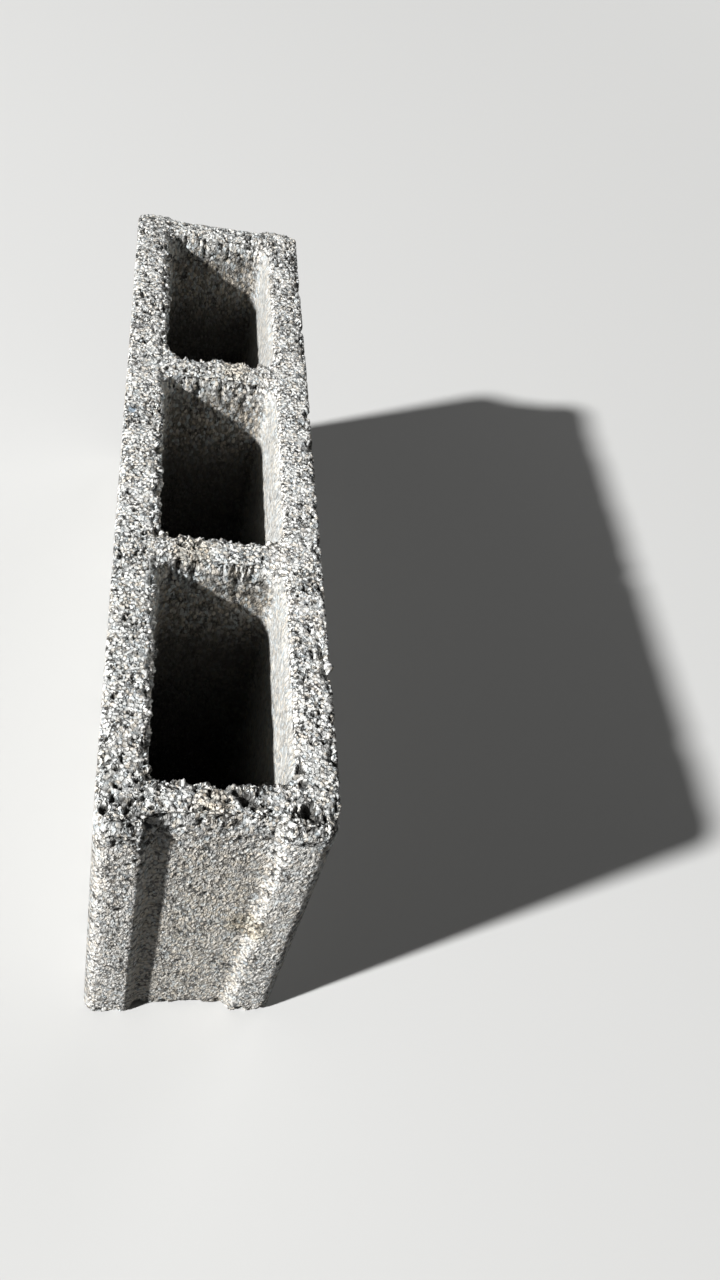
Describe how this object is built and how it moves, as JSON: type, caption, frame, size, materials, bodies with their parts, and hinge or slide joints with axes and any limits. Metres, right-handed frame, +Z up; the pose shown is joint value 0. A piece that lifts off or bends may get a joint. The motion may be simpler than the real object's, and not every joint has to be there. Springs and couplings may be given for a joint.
{
  "type": "hollow concrete block",
  "caption": "Narrow hollow concrete block with tapered rounded cores open top and bottom and a shallow mortar recess down each end.",
  "frame": {"origin": "middle of the bottom bed, at the level that the block stands on", "axes": "+X along the block's length, +Y across its width, +Z up out of the coarse top bed, where the cores are widest"},
  "size_m": [0.39, 0.09, 0.19],
  "materials": {
    "concrete": "dry grey open-textured concrete, coarse on the top bed and finer down the moulded sides"
  },
  "bodies": {
    "root": {"concrete_block": "concrete"}
  },
  "joints": []
}
